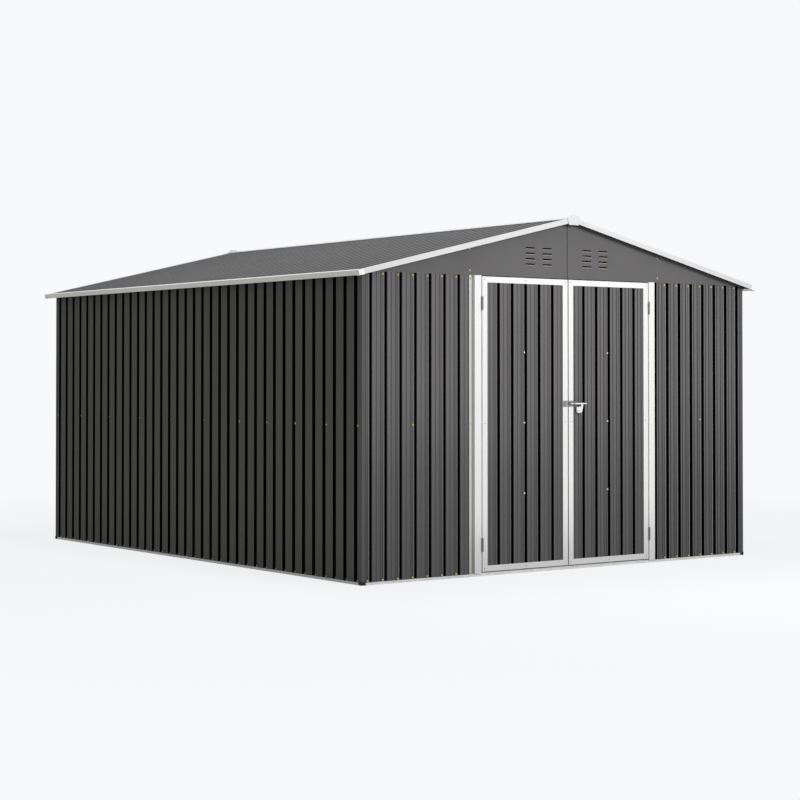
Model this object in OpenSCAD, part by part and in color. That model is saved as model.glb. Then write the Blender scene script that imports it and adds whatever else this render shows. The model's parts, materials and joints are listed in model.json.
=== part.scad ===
// Metal storage shed: a folded steel frame clad in ribbed sheet, with a low gable roof and double doors.
// Origin at the middle of the footprint on the ground, +X right along the front, +Y to the back, +Z up.

/* [Building] */
// Width of the walls, corner to corner
wall_w = 2914; // [2400:1:3600]
// Depth of the walls, corner to corner
wall_d = 3616; // [2400:1:4800]
// Height of the walls
wall_h = 1674; // [1500:1:2100]
// Rise of the roof's underside from the side walls to the ridge
roof_rise = 340; // [220:1:520]
// Overhang of the roof past the side walls
eave_over = 55; // [35:1:90]
// Overhang of the roof past the front and back walls
verge_over = 55; // [35:1:90]

/* [Wall sheet] */
// Thickness of the wall and roof sheet
sheet_t = 1.2; // [0.8:0.1:2]
// Distance between grooves
groove_pitch = 100; // [80:1:130]
// Distance from a corner to the first groove
corner_to_groove = 58; // [54:1:70]
// Width of a groove at the face
groove_mouth = 27; // [18:0.5:32]
// Width of a groove at its floor
groove_floor = 16; // [10:0.5:16]
// Depth of a groove
groove_depth = 9; // [6:0.5:12]
// Width of a shallow flute on the wide pans
flute_w = 8; // [4:0.5:10]
// Depth of a flute
flute_depth = 1.2; // [0.4:0.1:1.5]

/* [Frame] */
// Thickness of the folded rails, posts, jambs and trims
fold_t = 1.5; // [1:0.1:2.5]
// Height of the base rail's lip under the wall sheets
lip_h = 14; // [10:0.5:20]
// Width of the base rail on the ground
base_w = 45; // [35:1:70]
// Height of the base rail behind the wall sheets
upstand_h = 55; // [40:1:80]
// Width of a corner post's flanges
post_flange = 19; // [16:1:42]
// Reach of a corner foot along each wall
foot_reach = 28; // [22:1:50]
// Height of a corner foot
foot_h = 19; // [16:1:40]
// Height of a mid rail and a top rail
rail_h = 40; // [30:1:60]
// Depth of a mid rail and a top rail
rail_d = 26; // [20:1:34]
// Height of the mid rails' centre line
mid_rail_z = 848; // [600:1:1100]
// Height of the front and back top rails' lap behind the gable sheets
gable_lap = 26; // [18:1:40]

/* [Doorway] */
// Width of the doorway between the jambs
door_open_w = 1286; // [1000:1:1500]
// Width of a jamb's face
jamb_face = 48; // [40:1:80]
// Reach of a jamb's flange past its face
jamb_flange = 35; // [30:1:38]
// Width of the trough beside the left jamb's face
trough_w = 19; // [12:0.5:24]
// Depth of a jamb's return into the doorway
jamb_depth = 34; // [26:1:50]
// How far the jambs and doors stand proud of the walls
door_proud = 6; // [4:0.5:10]
// Height of the sill's top
sill_z = 18; // [17:0.5:24]
// Depth of the sill behind the doors' faces
sill_d = 8; // [6:0.5:11]

/* [Doors] */
// Running gap round a door leaf
door_gap = 5.5; // [5:0.1:8]
// Width of a door frame's stiles
stile_w = 37; // [32:1:56]
// Height of a door frame's rails
door_rail_h = 33; // [28:1:50]
// Depth of a door frame
door_depth = 20; // [18:0.5:26]
// Width of the brace behind a door panel
brace_w = 40; // [28:1:56]

/* [Hinges] */
// Length of a hinge's barrel
hinge_l = 76; // [60:1:100]
// Radius of a hinge's barrel
barrel_r = 5.5; // [4:0.1:6]
// Radius of a hinge's pin
pin_r = 2.5; // [2:0.1:3]
// Depth of a hinge's plates in the gap beside the door
plate_d = 17; // [12:0.5:19]
// Distance from a leaf's top and bottom to the middle of its hinges
hinge_inset = 150; // [90:1:260]

/* [Roof] */
// Distance between roof ribs
rib_pitch = 52; // [44:1:70]
// Width of a roof rib's crest
rib_crest = 30; // [20:1:34]
// Run of a roof rib's flank
rib_run = 4; // [2:0.5:5]
// Height of a roof rib
rib_h = 9; // [6:0.5:12]
// Height of the trims' faces
trim_face = 28; // [22:1:40]
// Width of the trims' top flanges
trim_flange = 30; // [20:1:45]
// Width of the eave trims' flanges under the overhang
soffit_w = 45; // [20:1:50]
// Width of each wing of the ridge cap
cap_wing = 60; // [40:1:80]
// Reach of the ridge cap's turned-down ears along the verges
cap_ear = 96; // [82:1:120]
// Drop of the ridge cap's ears
ear_drop = 14; // [8:1:20]
// Width of the ridge end plates
end_plate_w = 104; // [80:1:120]
// Height of the ridge end plates
end_plate_h = 58; // [48:1:70]
// Reach of the eave corner caps along each edge
corner_cap_reach = 34; // [24:1:50]

/* [Gable] */
// Width of a louvre
louvre_w = 68; // [50:1:90]
// Height of a louvre's slot
louvre_h = 8; // [6:0.5:14]
// Height of the flap in a louvre's slot
flap_h = 2.5; // [2:0.5:5]
// How far a louvre's flap leans inwards
flap_in = 3; // [2:0.5:6]
// Height of the bead under a louvre's slot
bead_h = 4.5; // [3:0.5:7]
// How far the bead stands out
bead_out = 1.5; // [1:0.1:3]
// Distance between louvre rows
louvre_row = 31; // [26:1:40]
// Height of the lowest louvre row above the walls
louvre_rise = 71; // [50:1:86]
// Distance from the gable's middle to the first louvre column
louvre_x = 153; // [110:1:180]
// Distance between louvre columns
louvre_col = 127; // [100:1:150]

/* [Slide bolt] */
// Height of the bolt
bolt_z = 953; // [800:1:1100]
// Radius of the bolt's rod
rod_r = 5; // [4:0.1:6]
// Length of the rod's straight part
rod_l = 101; // [90:1:140]
// Length of the rod's tapered tail
tail_l = 29; // [15:1:40]
// Travel of the bolt from drawn to shut
throw = 46; // [42:1:60]
// Height of the bolt's plates
bolt_plate_h = 36; // [28:1:48]
// Drop of the hasp tab below the rod
tab_drop = 53; // [40:1:70]
// Width of the hasp tab's neck
tab_w = 16; // [12:1:20]
// Reach of the hasp tab's foot from its neck
tab_reach = 34; // [26:1:44]
// Radius of the hasp tab's hole
tab_hole_r = 4; // [3:0.1:5]

/* [Fits] */
// Clearance between pieces that seat on each other
fit = 0.2; // [0.1:0.05:0.4]
// Radial clearance of a hinge pin
pin_fit = 0.05; // [0.02:0.01:0.1]
// Radial clearance of the bolt's rod in its guides
rod_fit = 0.5; // [0.3:0.1:1]
// Clearance round the bolt's rod in its keeper
keeper_fit = 1.5; // [1:0.1:2.5]

/* [Hidden] */
$fn = 48;

// One overrun for every cut
over = 20;
half_w = wall_w / 2;
half_d = wall_d / 2;
louvre_z = wall_h + louvre_rise;
charcoal = "#67666a";
dark = "#3a3a3c";
white = "#eeeeec";
zinc = "#b9bbbd";

// Depths from a wall's outer face, inwards
sheet_n = fold_t + fit;
sheet_depth = groove_depth + sheet_t;
frame_n = sheet_n + sheet_depth + fit;
rail_back_n = frame_n + rail_d;

// Wall sheet: the flank's offset keeps the sheet's thickness even
groove_run = (groove_mouth - groove_floor) / 2;
groove_flank = norm([groove_run, groove_depth]);
flank_shift = sheet_t * (groove_flank - groove_run) / groove_depth;
flute_shares = [0.32, 0.61];
sheet_edge = sheet_n + sheet_depth + fit;
wall_foot_z = lip_h + fit;

// Doorway
door_half = door_open_w / 2;
jamb_out = door_half + jamb_face;
jamb_lap = jamb_out + jamb_flange;
doorway_clear = jamb_lap + fit;
leaf_in = door_gap / 2;
leaf_out = door_half - door_gap;
leaf_w = leaf_out - leaf_in;
leaf_mid = (leaf_in + leaf_out) / 2;
leaf_z0 = sill_z + door_gap;
leaf_z1 = wall_h - door_gap;
panel_n = fold_t + fit - door_proud;
brace_n = panel_n + sheet_depth + fit;
brace_d = door_depth - door_proud - brace_n;
sill_front_n = frame_n - sill_d;
trough_n = frame_n - fold_t - fit;
trough_lap = jamb_out + trough_w + fold_t;

// Hinges
hinge_s = door_half - door_gap / 2;
barrel_lift = 0.5;
hinge_n = -door_proud - barrel_r - barrel_lift;
plate_n = -door_proud - fit;
plate_s = door_gap / 2 - fit;
knuckle_gap = 0.3;
knuckle_l = hinge_l / 3;
hinge_zs = [leaf_z0 + hinge_inset, leaf_z1 - hinge_inset];

// Roof: the slope frame starts where the roof's underside meets a side wall's outer face
pitch = atan(roof_rise / half_w);
slope_l = half_w / cos(pitch);
slope = roof_rise / half_w;
eave_u = -eave_over / cos(pitch);
verge_v = half_d + verge_over;
roof_edge_v = verge_v - fold_t - fit;
roof_top_w = rib_h + sheet_t;
trim_top_w = roof_top_w + fit + fold_t;
rib_shift = sheet_t * (norm([rib_run, rib_h]) - rib_run) / rib_h;
rib_foot = rib_crest / 2 + rib_run;
seam = 0.6;
roof_fit = fit / cos(pitch) + fit / 2;
ridge_z = wall_h + roof_rise;
beam_w = rail_d;
beam_h = rail_h;
purlin_share = 0.5;
cap_w0 = trim_top_w + fit;
end_plate_rise_share = 0.2;
end_plate_side_share = 0.32;
end_plate_top_share = 0.4;
end_plate_foot_share = 0.7;
ear_v = verge_v + fit + fold_t;
plate_top_z = ridge_z + (cap_w0 + fold_t) / cos(pitch) + end_plate_h * end_plate_rise_share;

// Slide bolt, drawn clear of the keeper
bolt_plate_t = 1.5;
bolt_face_n = -door_proud - fit;
guide_wall = 5;
guide_r = rod_r + guide_wall;
guide_l = 8;
rod_n = bolt_face_n - guide_r;
keeper_t = 2;
bolt_plate_inset = 3;
guide_start = leaf_in + bolt_plate_inset;
guide_end = leaf_in + stile_w - guide_l;
rod_drawn_s = guide_start;
tab_t = 2.5;
tab_gap = 5;
tab_corner = 5;
tab_foot_h = 32;
tab_hole_rise = 10;
tab_s = guide_end + guide_l + throw + tab_gap;

// Groove outlines in a sheet: along the wall, then inwards
function groove_outer(c) = [
    [c - groove_mouth / 2, 0], [c - groove_floor / 2, groove_depth],
    [c + groove_floor / 2, groove_depth], [c + groove_mouth / 2, 0]
];
function groove_inner(c) = [
    [c - groove_mouth / 2 - flank_shift, sheet_t], [c - groove_floor / 2 - flank_shift, sheet_depth],
    [c + groove_floor / 2 + flank_shift, sheet_depth], [c + groove_mouth / 2 + flank_shift, sheet_t]
];
function flutes(c, pitch, n) = [
    for (share = flute_shares) each [
        [c + share * pitch - flute_w / 2, n],
        [c + share * pitch, n + flute_depth],
        [c + share * pitch + flute_w / 2, n]
    ]
];
function reversed(list) = [for (i = [len(list) - 1 : -1 : 0]) list[i]];
function evenly(start, pitch, count) = [for (i = [0 : count - 1]) start + i * pitch];

// Closed outline of a ribbed sheet from s0 to s1 with a groove at each centre
function sheet_outline(s0, s1, centres, pitch) =
    let (last = len(centres) - 1)
    let (outer = [for (i = [0 : last]) each concat(
        groove_outer(centres[i]), i < last ? flutes(centres[i], pitch, 0) : [])])
    let (inner = [for (i = [0 : last]) each concat(
        groove_inner(centres[i]), i < last ? flutes(centres[i], pitch, sheet_t) : [])])
    concat([[s0, 0]], outer, [[s1, 0], [s1, sheet_t]], reversed(inner), [[s0, sheet_t]]);

// Roof ribs: along the building, then up from the underside
function rib_upper(c) = [
    [c - rib_foot, sheet_t], [c - rib_crest / 2, roof_top_w],
    [c + rib_crest / 2, roof_top_w], [c + rib_foot, sheet_t]
];
function rib_lower(c) = [
    [c - rib_foot + rib_shift, 0], [c - rib_crest / 2 + rib_shift, rib_h],
    [c + rib_crest / 2 - rib_shift, rib_h], [c + rib_foot - rib_shift, 0]
];
function roof_outline(v, centres) = concat(
    [[-v, 0]], [for (c = centres) each rib_lower(c)], [[v, 0], [v, sheet_t]],
    reversed([for (c = centres) each rib_upper(c)]), [[-v, sheet_t]]);

// Wall frames: x runs along the wall, y inwards from its outer face
module at_front() translate([0, -half_d, 0]) children();
module at_back() rotate([0, 0, 180]) translate([0, -half_d, 0]) children();
module at_left() rotate([0, 0, -90]) translate([0, -half_w, 0]) children();
module at_right() rotate([0, 0, 90]) translate([0, -half_w, 0]) children();
module on_side(side) mirror([side < 0 ? 1 : 0, 0, 0]) children();
module on_end(end) rotate([0, 0, end < 0 ? 0 : 180]) children();

// Left slope: x runs up the slope, y along the building, z off the roof's underside
module on_slope() translate([-half_w, 0, wall_h]) rotate([0, -pitch, 0]) children();

// A box from its low corner to its high corner
module span(low, high) translate(low) cube(high - low);

// A profile drawn inwards and up, run along a wall from s0 to s1
module run(s0, s1) translate([s0, 0, 0]) rotate([90, 0, 90]) linear_extrude(height = s1 - s0) children();

module wall_sheet(s0, s1, centres, pitch)
    translate([0, sheet_n, wall_foot_z])
        linear_extrude(height = wall_h - fit - wall_foot_z)
            polygon(sheet_outline(s0, s1, centres, pitch));

// A full wall, its grooves spread evenly between the corners
module full_wall(half) {
    stretch = 2 * (half - corner_to_groove);
    count = round(stretch / groove_pitch);
    even_pitch = stretch / count;
    wall_sheet(-half + sheet_edge, half - sheet_edge,
        evenly(corner_to_groove - half, even_pitch, count + 1), even_pitch);
}

// A front panel, its grooves counted in from the corner and its edge cut off beside the jamb
module front_wall(side, edge) {
    count = floor((half_w - corner_to_groove - edge) / groove_pitch) + 1;
    first = half_w - corner_to_groove - (count - 1) * groove_pitch;
    start = min(first, edge) - groove_mouth;
    on_side(side) at_front() difference() {
        wall_sheet(start, half_w - sheet_edge, evenly(first, groove_pitch, count), groove_pitch);
        span([start - over, -over, 0], [edge, frame_n + over, wall_h + over]);
    }
}

// Base rail: foot on the ground, lip under the sheets, ledge, and upstand behind the sheets
module base_profile()
    union() {
        square([base_w, fold_t]);
        square([fold_t, lip_h]);
        translate([0, lip_h - fold_t]) square([frame_n + fold_t, fold_t]);
        translate([frame_n, lip_h - fold_t]) square([fold_t, upstand_h - lip_h + fold_t]);
    }

module base_rail(half)
    color(zinc) intersection() {
        run(-half, half) base_profile();
        linear_extrude(height = upstand_h) polygon([
            [-half + fit, 0], [half - fit, 0], [half - fit - base_w, base_w], [-half + fit + base_w, base_w]
        ]);
    }

module base_rail_front()
    color(zinc) at_front() difference() {
        base_rail(half_w);
        span([-doorway_clear, 0, lip_h], [doorway_clear, base_w, upstand_h + over]);
    }
module base_rail_back() at_back() base_rail(half_w);
module base_rail_left() at_left() base_rail(half_d);
module base_rail_right() at_right() base_rail(half_d);

// Sill: a low channel on the base rail's ledge, set back under the doors
module door_sill()
    color(zinc) at_front() difference() {
        span([-door_half + fit, sill_front_n, wall_foot_z], [door_half - fit, frame_n, sill_z]);
        span([-door_half, sill_front_n + fold_t, 0], [door_half, frame_n - fold_t, sill_z - fold_t]);
    }

// Corner pieces are drawn at the front left and turned to the others
module corner(side, end) mirror([side > 0 ? 1 : 0, 0, 0]) mirror([0, end > 0 ? 1 : 0, 0])
    translate([-half_w, -half_d, 0]) children();

module corner_post(side, end)
    color(dark) corner(side, end) translate([0, 0, wall_foot_z])
        linear_extrude(height = wall_h - fit - wall_foot_z) difference() {
            square([post_flange, post_flange]);
            translate([fold_t, fold_t]) square([post_flange, post_flange]);
        }
module corner_post_front_left() corner_post(-1, -1);
module corner_post_front_right() corner_post(1, -1);
module corner_post_back_left() corner_post(-1, 1);
module corner_post_back_right() corner_post(1, 1);

module corner_feet()
    color(dark) for (side = [-1, 1], end = [-1, 1])
        corner(side, end) translate([-fold_t - fit, -fold_t - fit, 0])
            linear_extrude(height = foot_h) difference() {
                square([foot_reach, foot_reach]);
                translate([fold_t, fold_t]) square([foot_reach, foot_reach]);
            }

module left_wall() color(charcoal) at_left() full_wall(half_d);
module right_wall() color(charcoal) at_right() full_wall(half_d);
module back_wall() color(charcoal) at_back() full_wall(half_w);
module front_wall_left() color(charcoal) front_wall(-1, trough_lap + fit);
module front_wall_right() color(charcoal) front_wall(1, jamb_out + fit);

// Channel lying against the sheets, open inwards
module mid_profile()
    translate([frame_n, mid_rail_z - rail_h / 2]) difference() {
        square([rail_d, rail_h]);
        translate([fold_t, fold_t]) square([rail_d, rail_h - 2 * fold_t]);
    }

module mid_rails()
    color(zinc) {
        side_half = half_d - frame_n;
        end_half = half_w - rail_back_n - fit;
        at_left() run(-side_half, side_half) mid_profile();
        at_right() run(-side_half, side_half) mid_profile();
        at_back() run(-end_half, end_half) mid_profile();
        for (side = [-1, 1])
            on_side(side) at_front() run(doorway_clear, end_half) mid_profile();
    }

// Top rail: a leg behind the sheets and a shelf at its foot
module top_profile(top_z)
    union() {
        translate([frame_n, wall_h - rail_h]) square([fold_t, top_z - wall_h + rail_h]);
        translate([frame_n, wall_h - rail_h]) square([rail_d, fold_t]);
    }

module side_top_rail() {
    half = half_d - rail_back_n - fit;
    color(zinc) run(-half, half) top_profile(wall_h + frame_n * slope - roof_fit);
}
module top_rail_left() at_left() side_top_rail();
module top_rail_right() at_right() side_top_rail();

// The end rails also lap over the sheets' tops and stand behind the gable sheets
module end_top_rail() {
    half = half_w - frame_n - fit;
    lap_n = fit + sheet_t + fit;
    lap_half = half_w - (gable_lap + fold_t) / slope;
    color(zinc) union() {
        run(-half, half) top_profile(wall_h + fold_t);
        span([-half, lap_n, wall_h], [half, frame_n + fold_t, wall_h + fold_t]);
        span([-lap_half, lap_n, wall_h], [lap_half, lap_n + fold_t, wall_h + gable_lap]);
    }
}
module top_rail_front()
    color(zinc) at_front() difference() {
        end_top_rail();
        span([-doorway_clear, 0, wall_h - rail_h - over], [doorway_clear, rail_back_n + over, wall_h]);
    }
module top_rail_back() at_back() end_top_rail();

// Jamb: a folded post with a return into the doorway and an outer return to a flange
module jamb(side, back_n)
    color(white) on_side(side) at_front() translate([0, 0, wall_foot_z])
        linear_extrude(height = wall_h - fit - wall_foot_z) union() {
            translate([door_half, -door_proud]) square([fold_t, jamb_depth]);
            translate([door_half, -door_proud]) square([jamb_face, fold_t]);
            translate([jamb_out - fold_t, -door_proud]) square([fold_t, back_n + door_proud + fold_t]);
            children();
        }

// The left flange rises from a trough to lap over the wall sheet
module door_jamb_left()
    jamb(-1, trough_n) {
        translate([jamb_out - fold_t, trough_n]) square([trough_w + 2 * fold_t, fold_t]);
        translate([jamb_out + trough_w, 0]) square([fold_t, trough_n + fold_t]);
        translate([jamb_out + trough_w, 0]) square([jamb_flange - trough_w, fold_t]);
    }

// The right flange lies behind the wall sheet
module door_jamb_right()
    jamb(1, frame_n)
        translate([jamb_out - fold_t, frame_n]) square([jamb_flange + fold_t, fold_t]);

// Places of the louvres on half a gable, at the sheet's outer face
module at_louvres()
    for (row = [0 : 3], col = [0 : 1])
        translate([louvre_x + col * louvre_col, fit, louvre_z + row * louvre_row]) children();

// A louvre's flap leans inwards from the lower edge of its slot, over a bead that stands out
module flap()
    translate([-louvre_w / 2, 0, 0]) rotate([90, 0, 90]) linear_extrude(height = louvre_w)
        polygon([
            [0, 0], [flap_in, flap_h], [flap_in + sheet_t, flap_h],
            [sheet_t, 0], [sheet_t, -bead_h], [0, -bead_h], [-bead_out, -bead_h / 2]
        ]);

// Gable sheet: half a gable with two columns of pressed louvres
module gable(side, end) {
    low_z = wall_h + fit;
    low_x = half_w - (fit + roof_fit) / slope;
    color(charcoal) on_end(end) on_side(side * end < 0 ? 1 : -1) at_front()
        union() {
            difference() {
                translate([0, fit + sheet_t, 0]) rotate([90, 0, 0]) linear_extrude(height = sheet_t)
                    polygon([
                        [seam / 2, low_z], [low_x, low_z],
                        [seam / 2, wall_h - roof_fit + (half_w - seam / 2) * slope]
                    ]);
                at_louvres() span([-louvre_w / 2, -over, 0], [louvre_w / 2, over, louvre_h]);
            }
            at_louvres() flap();
        }
}
module gable_front_left() gable(-1, -1);
module gable_front_right() gable(1, -1);
module gable_back_left() gable(-1, 1);
module gable_back_right() gable(1, 1);

// Roof sheet: ribs run up the slope
module roof_sheet() {
    count = floor(2 * (roof_edge_v - rib_foot) / rib_pitch) + 1;
    first = -(count - 1) * rib_pitch / 2;
    top_u = slope_l - trim_top_w * tan(pitch) - seam;
    color(charcoal) on_slope() run(eave_u, top_u)
        polygon(roof_outline(roof_edge_v, evenly(first, rib_pitch, count)));
}
module roof_left() roof_sheet();
module roof_right() mirror([1, 0, 0]) roof_sheet();

module ridge_beam() {
    top_z = ridge_z - roof_fit - beam_w / 2 * slope;
    half = half_d - sheet_t - 2 * fit;
    color(zinc) difference() {
        span([-beam_w / 2, -half, top_z - beam_h], [beam_w / 2, half, top_z]);
        span([-beam_w / 2 + fold_t, -half - over, top_z - beam_h - over],
            [beam_w / 2 - fold_t, half + over, top_z - fold_t]);
    }
}

module purlins() {
    half = half_d - sheet_t - 2 * fit;
    u = slope_l * purlin_share;
    color(zinc) for (side = [-1, 1]) on_side(-side) on_slope() difference() {
        span([u - rail_d / 2, -half, -rail_h - fit], [u + rail_d / 2, half, -fit]);
        span([u - rail_d / 2 + fold_t, -half - over, -rail_h - fit - over],
            [u + rail_d / 2 - fold_t, half + over, -fit - fold_t]);
    }
}

// A bent strip over the ridge, its wings this long and its underside this low
module ridge_strip(wing, low_z, depth_z) {
    drop = wing * sin(pitch);
    reach = wing * cos(pitch);
    polygon([
        [-reach, low_z - drop], [0, low_z], [reach, low_z - drop],
        [reach, low_z + depth_z - drop], [0, low_z + depth_z], [-reach, low_z + depth_z - drop]
    ]);
}

// Ridge cap: two wings over the roof sheets, with ears turned down over the verge trims' faces
module ridge_cap() {
    low_z = ridge_z + cap_w0 / cos(pitch);
    color(white) union() {
        rotate([90, 0, 0]) translate([0, 0, -ear_v]) linear_extrude(height = 2 * ear_v)
            ridge_strip(cap_wing, low_z, fold_t / cos(pitch));
        for (end = [-1, 1])
            on_end(end) translate([0, -ear_v + fold_t, 0]) rotate([90, 0, 0]) linear_extrude(height = fold_t)
                ridge_strip(cap_ear, low_z - ear_drop, ear_drop + fold_t / cos(pitch));
    }
}

// End plates close the ridge over the ends of the verge trims
module ridge_end_plates() {
    low_z = plate_top_z - end_plate_h;
    side_z = plate_top_z - end_plate_h * end_plate_side_share;
    side = end_plate_w / 2;
    top = side * end_plate_top_share;
    foot = side * end_plate_foot_share;
    color(white) for (end = [-1, 1])
        on_end(end) translate([0, -ear_v - fit, 0]) rotate([90, 0, 0]) linear_extrude(height = 2 * fold_t)
            polygon([
                [top, plate_top_z], [-top, plate_top_z], [-side, side_z],
                [-foot, low_z], [foot, low_z], [side, side_z]
            ]);
}

// Eave trim: a face at the roof's edge, a flange over the ribs and one under the overhang
module eave_trim() {
    out_u = eave_u - fold_t - fit;
    low_w = trim_top_w - trim_face;
    face_v = verge_v - fold_t - fit;
    flange_v = verge_v - trim_flange - fit;
    color(white) on_slope() union() {
        span([out_u, -face_v, low_w], [eave_u - fit, face_v, trim_top_w]);
        span([out_u, -flange_v, trim_top_w - fold_t], [eave_u + trim_flange, flange_v, trim_top_w]);
        span([out_u, -face_v, low_w], [eave_u + soffit_w, face_v, low_w + fold_t]);
    }
}
module eave_trim_left() eave_trim();
module eave_trim_right() mirror([1, 0, 0]) eave_trim();

// Verge trim: up the roof's sloping edge, cut off upright at the ridge
module verge_trim() {
    long_u = slope_l + trim_face;
    color(white) difference() {
        on_slope() union() {
            span([eave_u - fold_t - fit, -verge_v, trim_top_w - trim_face],
                [long_u, -verge_v + fold_t, trim_top_w]);
            span([eave_u, -verge_v, trim_top_w - fold_t], [long_u, -verge_v + trim_flange, trim_top_w]);
        }
        span([-seam / 2, -verge_v - over, ridge_z - 2 * trim_face],
            [long_u, -half_d + over, ridge_z + 2 * trim_face]);
    }
}
module verge_trim_front_left() verge_trim();
module verge_trim_front_right() mirror([1, 0, 0]) verge_trim();
module verge_trim_back_left() mirror([0, 1, 0]) verge_trim();
module verge_trim_back_right() mirror([1, 0, 0]) mirror([0, 1, 0]) verge_trim();

// Small angle caps over the trims' meeting corners
module eave_corner_caps() {
    edge_u = eave_u - fold_t - 2 * fit;
    edge_v = -verge_v - fit;
    color(white) for (side = [-1, 1], end = [-1, 1])
        mirror([side > 0 ? 1 : 0, 0, 0]) mirror([0, end > 0 ? 1 : 0, 0]) on_slope() union() {
            span([edge_u - fold_t, edge_v - fold_t, trim_top_w - trim_face - fold_t],
                [edge_u, edge_v + corner_cap_reach, trim_top_w]);
            span([edge_u - fold_t, edge_v - fold_t, trim_top_w - trim_face - fold_t],
                [edge_u + corner_cap_reach, edge_v, trim_top_w]);
        }
}

// Hinge half: a plate in the gap beside the door, and knuckles on the pin in front of it
module hinge_plate(z)
    span([plate_s - fold_t, plate_n, z - hinge_l / 2], [plate_s, plate_n + plate_d, z + hinge_l / 2]);

module knuckle(z0, z1)
    union() {
        translate([0, hinge_n, z0]) cylinder(r = barrel_r, h = z1 - z0);
        span([plate_s - fold_t, hinge_n, z0], [plate_s, plate_n, z1]);
    }

module jamb_hinges()
    color(zinc) for (side = [-1, 1], z = hinge_zs)
        on_side(side) at_front() translate([hinge_s, 0, 0]) union() {
            hinge_plate(z);
            knuckle(z - hinge_l / 2, z - knuckle_l / 2 - knuckle_gap);
            knuckle(z + knuckle_l / 2 + knuckle_gap, z + hinge_l / 2);
            translate([0, hinge_n, z - hinge_l / 2]) cylinder(r = pin_r, h = hinge_l);
        }

module door_hinges(side)
    color(zinc) for (z = hinge_zs)
        on_side(side) at_front() translate([hinge_s, 0, 0]) difference() {
            mirror([1, 0, 0]) union() {
                hinge_plate(z);
                knuckle(z - knuckle_l / 2, z + knuckle_l / 2);
            }
            translate([0, hinge_n, z - hinge_l]) cylinder(r = pin_r + pin_fit, h = 2 * hinge_l);
        }
module left_door_hinges() door_hinges(-1);
module right_door_hinges() door_hinges(1);

// Door frame: folded face and returns round the panel
module door_frame(side)
    color(white) on_side(side) at_front() translate([0, -door_proud, 0]) difference() {
        span([leaf_in, 0, leaf_z0], [leaf_out, door_depth, leaf_z1]);
        span([leaf_in + fold_t, fold_t, leaf_z0 + fold_t],
            [leaf_out - fold_t, door_depth + over, leaf_z1 - fold_t]);
        span([leaf_in + stile_w, -over, leaf_z0 + door_rail_h],
            [leaf_out - stile_w, over, leaf_z1 - door_rail_h]);
    }
module left_door_frame() door_frame(-1);
module right_door_frame() door_frame(1);

module door_panel(side) {
    inset = fold_t + fit;
    count = floor((leaf_w - 2 * stile_w) / groove_pitch);
    centres = evenly(leaf_mid - (count - 1) * groove_pitch / 2, groove_pitch, count);
    color(charcoal) on_side(side) at_front() translate([0, panel_n, leaf_z0 + inset])
        linear_extrude(height = leaf_z1 - leaf_z0 - 2 * inset)
            polygon(sheet_outline(leaf_in + inset, leaf_out - inset, centres, groove_pitch));
}
module left_door_panel() door_panel(-1);
module right_door_panel() door_panel(1);

// Cross of channels behind a door panel, open to the back
module door_brace(side) {
    inset = fold_t + fit;
    bars = [
        [[leaf_mid - brace_w / 2, leaf_z0 + inset], [leaf_mid + brace_w / 2, leaf_z1 - inset]],
        [[leaf_in + inset, mid_rail_z - brace_w / 2], [leaf_out - inset, mid_rail_z + brace_w / 2]]
    ];
    color(zinc) on_side(side) at_front() difference() {
        for (bar = bars)
            span([bar[0][0], brace_n, bar[0][1]], [bar[1][0], brace_n + brace_d, bar[1][1]]);
        for (bar = bars)
            span([bar[0][0] + fold_t, brace_n + fold_t, bar[0][1] + fold_t],
                [bar[1][0] - fold_t, brace_n + brace_d + over, bar[1][1] - fold_t]);
    }
}
module left_door_brace() door_brace(-1);
module right_door_brace() door_brace(1);

// A guide loop on its plate, its bore along the wall
module guide(s0)
    difference() {
        union() {
            translate([s0, rod_n, bolt_z]) rotate([0, 90, 0]) cylinder(r = guide_r, h = guide_l);
            span([s0, rod_n, bolt_z - guide_r], [s0 + guide_l, bolt_face_n, bolt_z + guide_r]);
        }
        translate([s0 - over, rod_n, bolt_z]) rotate([0, 90, 0])
            cylinder(r = rod_r + rod_fit, h = guide_l + 2 * over);
    }

module bolt_plate(s0, s1)
    span([s0, bolt_face_n - bolt_plate_t, bolt_z - bolt_plate_h / 2],
        [s1, bolt_face_n, bolt_z + bolt_plate_h / 2]);

module bolt_bracket()
    color(zinc) at_front() union() {
        bolt_plate(guide_start, guide_end + guide_l);
        guide(guide_start);
        guide(guide_end);
    }

// A square strap on the other leaf, which the rod enters
module bolt_keeper() {
    strap_s = -leaf_in - stile_w + bolt_plate_inset;
    slot = rod_r + keeper_fit;
    strap = slot + keeper_t;
    back_n = bolt_face_n - bolt_plate_t;
    color(zinc) at_front() union() {
        bolt_plate(strap_s, -leaf_in - bolt_plate_inset);
        difference() {
            span([strap_s, rod_n - strap, bolt_z - strap], [strap_s + guide_l, back_n, bolt_z + strap]);
            span([strap_s - over, rod_n - slot, bolt_z - slot],
                [strap_s + guide_l + over, back_n, bolt_z + slot]);
        }
    }
}

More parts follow.
